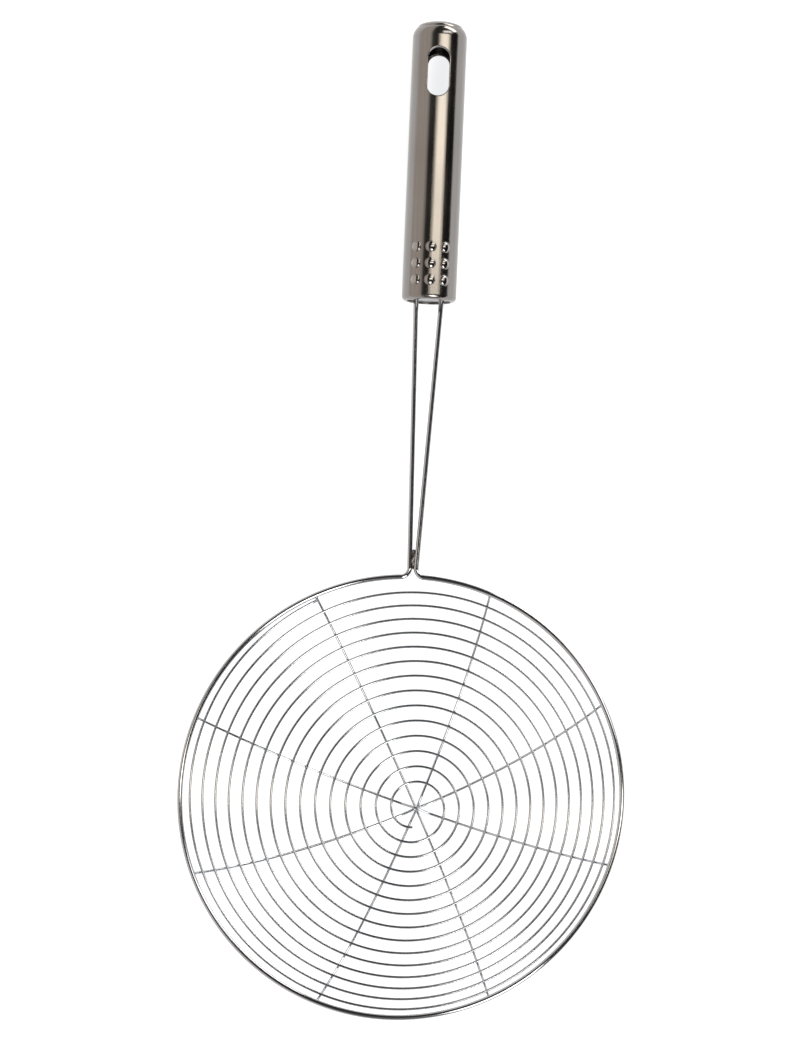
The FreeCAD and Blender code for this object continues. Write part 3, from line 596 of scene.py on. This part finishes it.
top_profile = np.concatenate([
    [(HANDLE_RADIUS, SLOT_EDGES[1])],
    outer_arc,
    soft_corner(outer_arc[-1], (CAP_MOUTH_RADIUS, mouth_top), (CAP_MOUTH_RADIUS, mouth_top - SEAM_DROP), 5)[1:],
    flat_arc(shoulder_centre, SHOULDER_RADIUS - wall, inner_end, 0, 12),
    [(BORE_RADIUS, SLOT_EDGES[1])],
])
middle_profile = np.linspace((HANDLE_RADIUS, BUMP_EDGES[-1]), (HANDLE_RADIUS, SLOT_EDGES[0]), 12)
handle_grids = [turned(low_profile), turned(middle_profile), turned(top_profile)]
print("turned rows:", len(low_profile), len(middle_profile), len(top_profile))

# %% [markdown]
# Near the lower end three rows of three small domes are pressed out for grip. Pushing points of the tube outwards
# would leave them jagged, so each dome sits in its own window of the wall: the grid runs from the window's edge in to
# a circle, up a small hollow round its foot and over the dome to one point on top. The rest of that belt is plain.

# %% The grip domes
BUMP_TURNS = np.radians([-32.5, 0, 32.5])
BUMP_WINDOWS = np.radians([-50, -16, 16, 50])
COLUMN_TURN = 2 * math.pi / COLUMNS
DOME_HALF_WIDTH, DOME_RISE, DOME_END, FOOT_RADIUS = 2.02, 0.9, math.radians(76), 0.24
BELT_ROWS = 13


def window_edge(turns, heights):
    """Once round a window of the wall, from its low left corner: right, up, left, down, back to the start."""
    low, high = np.full(len(turns), heights[0]), np.full(len(turns), heights[-1])
    left, right = np.full(len(heights), turns[0]), np.full(len(heights), turns[-1])
    turn = np.concatenate([turns[:-1], right[:-1], turns[:0:-1], left])
    height = np.concatenate([low[:-1], heights[:-1], high[:0:-1], heights[::-1]])
    return turn, height


def window_columns(first, last):
    """Angles from one side of a window to the other, in the columns of the turned parts."""
    return np.linspace(first, last, round((last - first) / COLUMN_TURN) + 1)


dome = np.linspace(DOME_END, 0, 16)
dome_slope = math.atan(DOME_RISE / DOME_HALF_WIDTH * math.tan(DOME_END))
foot = np.linspace(0, dome_slope, 7)
dome_edge = DOME_HALF_WIDTH * math.sin(DOME_END)
foot_reach = dome_edge + FOOT_RADIUS * math.sin(dome_slope)
foot_height = FOOT_RADIUS * (1 - math.cos(dome_slope))
dome_reach = np.concatenate([foot_reach - FOOT_RADIUS * np.sin(foot), DOME_HALF_WIDTH * np.sin(dome[1:])])
dome_height = np.concatenate([
    FOOT_RADIUS * (1 - np.cos(foot)),
    foot_height + DOME_RISE * (np.cos(dome[1:]) - math.cos(DOME_END)),
])


def dome_window(turn_0, height_0, turns, heights):
    """A window with a dome: straight in to the foot's circle, then reach and height of the dome's own profile."""
    turn, height = window_edge(turns, heights)
    flat = np.column_stack([(turn - turn_0) * HANDLE_RADIUS, height - height_0])
    way = unit(flat)
    share = np.linspace(0, 1, 6)[:-1, None, None]
    outside = flat + share * (foot_reach * way - flat)
    inside = dome_reach[:, None, None] * way
    place = np.concatenate([outside, inside])
    rise = np.concatenate([np.zeros(len(share)), dome_height])[:, None]
    return on_handle(HANDLE_RADIUS + rise, turn_0 + place[..., 0] / HANDLE_RADIUS, height_0 + place[..., 1])


belt_heights = [np.linspace(low, high, BELT_ROWS) for low, high in zip(BUMP_EDGES, BUMP_EDGES[1:])]
belt_turns = [window_columns(left, right) for left, right in zip(BUMP_WINDOWS, BUMP_WINDOWS[1:])]
handle_grids += [
    dome_window(turn, height, turns, heights)
    for turn, turns in zip(BUMP_TURNS, belt_turns)
    for height, heights in zip(BUMP_HEIGHTS, belt_heights)
]
plain = np.unique(np.concatenate(belt_heights))
plain_turns = window_columns(BUMP_WINDOWS[-1], BUMP_WINDOWS[0] + 2 * math.pi)
handle_grids.append(on_handle(HANDLE_RADIUS, plain_turns, plain[:, None]))
print(f"domes {dome_height[-1]:.2f} mm high and {2 * foot_reach:.2f} mm wide at the foot")

# %% [markdown]
# The hanging slot goes right through the handle, and its edge is rolled in to a smooth lip. It is made like the domes:
# each side has a window of half the wall, and the grid runs from its edge to the slot's outline, over a quarter round
# into the hole, round the lip's end, and back along the inside of the wall to the window's edge again.

# %% The hanging slot
SLOT_HALF_WIDTH, SLOT_STRAIGHT, SLOT_MIDDLE = 4.45, 5.25, 86.2
LIP, LIP_DEPTH = 0.4, 1.7
SLOT_ROWS, CROWDING = 41, 1.7
TINY = 1e-9


def slot_outline(way):
    """Where rays from the slot's middle meet its outline, two straights and two half circles, and the way out there."""
    side, length = np.abs(way[:, 0]), np.abs(way[:, 1])
    to_side = SLOT_HALF_WIDTH / np.maximum(side, TINY)
    under_root = np.maximum(SLOT_HALF_WIDTH ** 2 - (SLOT_STRAIGHT * side) ** 2, 0)
    to_end = SLOT_STRAIGHT * length + np.sqrt(under_root)
    point = np.where(to_side * length <= SLOT_STRAIGHT, to_side, to_end)[:, None] * way
    nearest_axis = np.column_stack([np.zeros(len(way)), np.clip(point[:, 1], -SLOT_STRAIGHT, SLOT_STRAIGHT)])
    return point, unit(point - nearest_axis)


def slot_window(turn_0):
    """Half the wall with its slot, from offset inwards and depth below the skin along the lip's own section.
    The rows outside crowd towards the slot: their share of the way is one less a power of what is left."""
    turn, height = window_edge(window_columns(-math.pi / 2, math.pi / 2), np.linspace(*SLOT_EDGES, SLOT_ROWS))
    flat = np.column_stack([turn * HANDLE_RADIUS, height - SLOT_MIDDLE])
    point, outwards = slot_outline(unit(flat))
    share = 1 - (1 - np.linspace(0, 1, 11)[:-1, None]) ** CROWDING
    outer_turn = np.arcsin(point[:, 0] / HANDLE_RADIUS)
    outer = on_handle(HANDLE_RADIUS, turn_0 + turn + share * (outer_turn - turn),
                      SLOT_MIDDLE + flat[:, 1] + share * (point[:, 1] - flat[:, 1]))
    over = np.linspace(0, math.pi / 2, 8)
    under = np.linspace(0, math.pi, 9)
    offset = np.concatenate([LIP * np.sin(over), LIP / 2 * (1 + np.cos(under)), [0]])[:, None]
    depth = np.concatenate([
        LIP * (1 - np.cos(over)), LIP_DEPTH + LIP / 2 * (np.sin(under) - 1), [wall],
    ])[:, None]
    place = point - offset[..., None] * outwards
    radius = HANDLE_RADIUS - depth
    lip = on_handle(radius, turn_0 + np.arcsin(place[..., 0] / radius), SLOT_MIDDLE + place[..., 1])
    share = np.linspace(0, 1, 7)[1:, None]
    inner_turn = np.arcsin(point[:, 0] / BORE_RADIUS)
    inner = on_handle(BORE_RADIUS, turn_0 + inner_turn + share * (turn - inner_turn),
                      SLOT_MIDDLE + point[:, 1] + share * (flat[:, 1] - point[:, 1]))
    return np.concatenate([outer, lip, inner])


handle_grids += [slot_window(0), slot_window(math.pi)]
handle_tube = make_piece("handle_tube_skin", ["handle_tube"], handle_grids)

# %% [markdown]
# A polished tube shows every small error in its shading, and the windows leave faces of uneven size. On the plain wall
# the true direction is known: straight out from the axis. It is set there, and elsewhere the mesh's own average stays.

# %% True directions on the tube
WALL_TOLERANCE = 0.001

mesh = handle_tube.data
place = np.empty(len(mesh.vertices) * 3, np.float32)
mesh.vertices.foreach_get("co", place)
average = np.empty(len(mesh.vertices) * 3, np.float32)
mesh.vertex_normals.foreach_get("vector", average)
local = (place.reshape(-1, 3) / MM - handle_end) @ handle_axes.T
out = np.column_stack([local[:, :2], np.zeros(len(local))])
on_wall = np.abs(np.linalg.norm(out, axis=1) - HANDLE_RADIUS) < WALL_TOLERANCE
direction = np.where(on_wall[:, None], out @ handle_axes, average.reshape(-1, 3))
mesh.normals_split_custom_set_from_vertices(unit(direction).astype(np.float32))
print("points on the plain wall:", int(on_wall.sum()), "of", len(local))

# %% [markdown]
# The top is closed by a pressed cap let into the tube's mouth, with a fine dark seam round it. Its profile is turned
# like the tube's: a spigot inside the mouth, a round edge that carries on the shoulder's curve, and a low crown,
# which is part of a large ball. The edge's circle touches both the spigot's side and that ball, and this gives the
# place of its centre.

# %% The cap
CAP_RADIUS, CAP_EDGE, CAP_FOOT = 8.68, 2.0, -4.0
CAP_RIM_RISE = 0.73
FOOT_CORNER = 0.3

rim_rise = CAP_RIM_RISE + mouth_top - HANDLE_LENGTH
crown_rise = CAP_HEIGHT - rim_rise
crown_radius = (CAP_RADIUS ** 2 + crown_rise ** 2) / (2 * crown_rise)
crown_centre = CAP_HEIGHT - crown_radius
edge_place = CAP_RADIUS - CAP_EDGE
edge_height = crown_centre + math.sqrt((crown_radius - CAP_EDGE) ** 2 - edge_place ** 2)
edge_end = math.acos(edge_place / (crown_radius - CAP_EDGE))
cap_profile = np.concatenate([
    np.linspace((0, CAP_FOOT), (CAP_RADIUS - FOOT_CORNER, CAP_FOOT), 4),
    soft_corner((CAP_RADIUS - FOOT_CORNER, CAP_FOOT), (CAP_RADIUS, CAP_FOOT),
                (CAP_RADIUS, CAP_FOOT + FOOT_CORNER), 5)[1:],
    flat_arc((edge_place, edge_height), CAP_EDGE, 0, edge_end, 24),
    flat_arc((0, crown_centre), crown_radius, edge_end, math.pi / 2, 20)[1:],
])
cap_grid = turned(cap_profile + (0, HANDLE_LENGTH))
handle_cap = make_piece("handle_cap_skin", ["handle_cap"], [cap_grid])

# %% [markdown]
# Drawn and polished steel is not even: the tool leaves fine lines along its length, and handling leaves dull clouds.
# Noise squeezed across and stretched along the handle gives the lines; a Map Range sharpens them. They move the colour
# and the roughness a little and raise a very slight grain. Larger soft noise gives the clouds. All bare steel here
# starts from this one function.

# %% Bare steel
NOISE_RANGE = (0.3, 0.7)
LINE_DETAIL, CLOUD_DETAIL = 4.0, 3.0
LINE_PART, CLOUD_PART = 0.6, 0.4
GRAIN_HEIGHT = 0.02 * MM


def noise(start, place, scale, detail):
    """Soft random clouds of a size and detail, from about 0 to 1."""
    return start.add("ShaderNodeTexNoise", {}, {"Vector": place, "Scale": scale, "Detail": detail}, out="Fac")


def raised(start, height, strength, distance):
    """The direction of a surface that a height raises a little."""
    return start.add("ShaderNodeBump", {}, {"Strength": strength, "Distance": distance, "Height": height}, out="Normal")


def steel(name, pale, deep, lines, clouds, rough, rough_range, grain):
    """A bare steel: colour and roughness follow stretched noise lines and soft clouds, with a slight grain."""
    material, start = new_finish(name)
    place = start.add("ShaderNodeTexCoord", out="Object")
    squeezed = start.add("ShaderNodeMapping", {}, {"Vector": place, "Scale": lines})
    line = noise(start, squeezed, 1.0, LINE_DETAIL).share(*NOISE_RANGE)
    cloud = noise(start, place, clouds, CLOUD_DETAIL).share(*NOISE_RANGE)
    mottle = line * LINE_PART + cloud * CLOUD_PART
    bump = raised(start, line, grain, GRAIN_HEIGHT)
    return material, start, mottle, mottle.between(deep, pale), mottle * rough_range + rough, bump


def finish_steel(start, colour, rough, bump):
    """The metal shader itself, with its three varying inputs."""
    metal = start.add("ShaderNodeBsdfPrincipled", {}, {
        "Base Color": colour, "Metallic": 1.0, "Roughness": rough, "Normal": bump,
    })
    start.add("ShaderNodeOutputMaterial", {}, {"Surface": metal})


print("shares of lines and clouds in the mottle:", LINE_PART, CLOUD_PART)

# %% [markdown]
# The handle is a darker, warmer steel than the wires, with its lines along the tube. Hands rub the tops of the domes
# smoother than the wall, and a brighter colour there is a painted highlight for the domes' bright spots. The tops
# could be painted on, but they are also the only places further from the handle's axis than the wall is, so that
# distance, worked out from object coordinates, finds them.

# %% Handle steel
LINE_SCALE = (1900, 14, 1900)
STEEL_PALE, STEEL_DEEP = (0.27, 0.257, 0.248, 1), (0.22, 0.208, 0.199, 1)
# The colour of the domes' tops, brighter than the wall: a painted highlight.
RUBBED_HIGHLIGHT = (0.35, 0.342, 0.335, 1)
RUBBED_FROM, RUBBED_TO, RUBBED_SMOOTHER = 0.45, 0.7, 0.06

handle_steel, start, mottle, colour, rough, bump = steel(
    "handle_steel", STEEL_PALE, STEEL_DEEP, LINE_SCALE, clouds=55.0, rough=0.13, rough_range=0.10, grain=0.25)
place = start.add("ShaderNodeTexCoord", out="Object")
x = start.add("ShaderNodeSeparateXYZ", {}, {0: place}, out="X")
z = x.other("Z") - HANDLE_RADIUS * MM
from_axis = start.math("SQRT", x * x + z * z, 0)
# The domes' tops are smoother from rubbing, and they get the brighter colour as a painted highlight.
rubbed_and_highlit = from_axis.share((HANDLE_RADIUS + RUBBED_FROM) * MM, (HANDLE_RADIUS + RUBBED_TO) * MM)
finish_steel(start, rubbed_and_highlit.between(colour, RUBBED_HIGHLIGHT), rough - rubbed_and_highlit * RUBBED_SMOOTHER, bump)
for piece in (handle_tube, handle_cap):
    piece.data.materials.append(handle_steel)
print("handle steel nodes:", len(handle_steel.node_tree.nodes))

# %% [markdown]
# The wires are drawn steel, brighter and cooler than the handle. The thin ones carry the heat number, and it pulls
# their colour towards a dark brown and dulls them, so that the hub and the spot welds look burnt as on the real tool.
# The mottling makes the burnt places uneven.

# %% Wire steel
WIRE_LINES, WIRE_CLOUDS = (900, 900, 900), 160.0
FRAME_PALE, FRAME_DEEP = (0.49, 0.505, 0.53, 1), (0.45, 0.465, 0.49, 1)
WIRE_PALE, WIRE_DEEP = (0.50, 0.52, 0.55, 1), (0.43, 0.45, 0.48, 1)
HEAT_BROWN = (0.03, 0.018, 0.013, 1)
HEAT_LEAST, HEAT_MOTTLE, HEAT_DULLER = 0.75, 0.5, 0.35

frame_steel, start, mottle, colour, rough, bump = steel(
    "frame_steel", FRAME_PALE, FRAME_DEEP, WIRE_LINES, WIRE_CLOUDS, rough=0.08, rough_range=0.04, grain=0.02)
finish_steel(start, colour, rough, bump)
frame_wire.data.materials.append(frame_steel)

wire_steel, start, mottle, colour, rough, bump = steel(
    "wire_steel", WIRE_PALE, WIRE_DEEP, WIRE_LINES, WIRE_CLOUDS, rough=0.14, rough_range=0.05, grain=0.02)
heat = start.add("ShaderNodeAttribute", {"attribute_name": "heat"}, out="Fac")
burnt = heat * (mottle * HEAT_MOTTLE + HEAT_LEAST)
finish_steel(start, burnt.between(colour, HEAT_BROWN), rough + heat * HEAT_DULLER, bump)
for piece in basket:
    piece.data.materials.append(wire_steel)
print("wires in wire steel:", len(basket))

# %% [markdown]
# Braze and weld beads are rough, with small bright specks where the metal ran. Their dark colour is partly the
# braze's own and partly painted shade of the narrow crotch between the legs. Two noises of different size give the
# pitted skin: the fine one raises it, the coarse one chooses between the dark colour and the bright specks.

# %% Weld steel
# The dark colour is braze with painted shade of the crotch between the legs mixed in.
WELD_DARK_AND_SHADE, WELD_BRIGHT = (0.09, 0.082, 0.078, 1), (0.50, 0.48, 0.46, 1)
WELD_ROUGH, SPECK_SMOOTHER = 0.55, 0.3
SPECK_RANGE = (0.52, 0.66)
SPECK_SCALE, SPECK_DETAIL = 900.0, 2.0
PIT_SCALE, PIT_DETAIL, PIT_STRENGTH, PIT_HEIGHT = 2600.0, 4.0, 0.7, 0.2 * MM

weld_steel, start = new_finish("weld_steel")
place = start.add("ShaderNodeTexCoord", out="Object")
speck = noise(start, place, SPECK_SCALE, SPECK_DETAIL).share(*SPECK_RANGE)
bump = raised(start, noise(start, place, PIT_SCALE, PIT_DETAIL), PIT_STRENGTH, PIT_HEIGHT)
finish_steel(start, speck.between(WELD_DARK_AND_SHADE, WELD_BRIGHT), WELD_ROUGH - speck * SPECK_SMOOTHER, bump)
neck_weld.data.materials.append(weld_steel)
print("weld steel nodes:", len(weld_steel.node_tree.nodes))

# %% [markdown]
# Two small parts keep their solids: the plug behind the handle's rolled edge and the beads that hold the legs to it.
# Only their finish changes. The plug was turned, so its lines run in rings about the handle's axis, which a wave of
# rings on object coordinates gives, centred on the handle by a Mapping node.

# %% Plug and leg beads
PLUG_PALE, PLUG_DEEP = (0.45, 0.435, 0.45, 1), (0.34, 0.325, 0.335, 1)
PLUG_ROUGH, PLUG_ROUGH_RANGE = 0.28, 0.12
RING_LOOK = {"Scale": 700.0, "Distortion": 1.5, "Detail": 2.0}
RING_STRENGTH, RING_HEIGHT = 0.2, 0.05 * MM

plug_steel, start = new_finish("plug_steel")
place = start.add("ShaderNodeTexCoord", out="Object")
centred = start.add("ShaderNodeMapping", {"vector_type": "POINT"}, {
    "Vector": place, "Location": (0.0, 0.0, -HANDLE_RADIUS * MM),
})
wave = {"wave_type": "RINGS", "rings_direction": "Y"}
rings = start.add("ShaderNodeTexWave", wave, {"Vector": centred, **RING_LOOK}, out="Fac")
bump = raised(start, rings, RING_STRENGTH, RING_HEIGHT)
finish_steel(start, rings.between(PLUG_DEEP, PLUG_PALE), rings * PLUG_ROUGH_RANGE + PLUG_ROUGH, bump)
for node, material in (("handle_plug", plug_steel), ("leg_welds", weld_steel)):
    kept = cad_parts[node].data
    kept.materials.clear()
    kept.materials.append(material)
    print(node, "keeps its solid, in", material.name)

# %% [markdown]
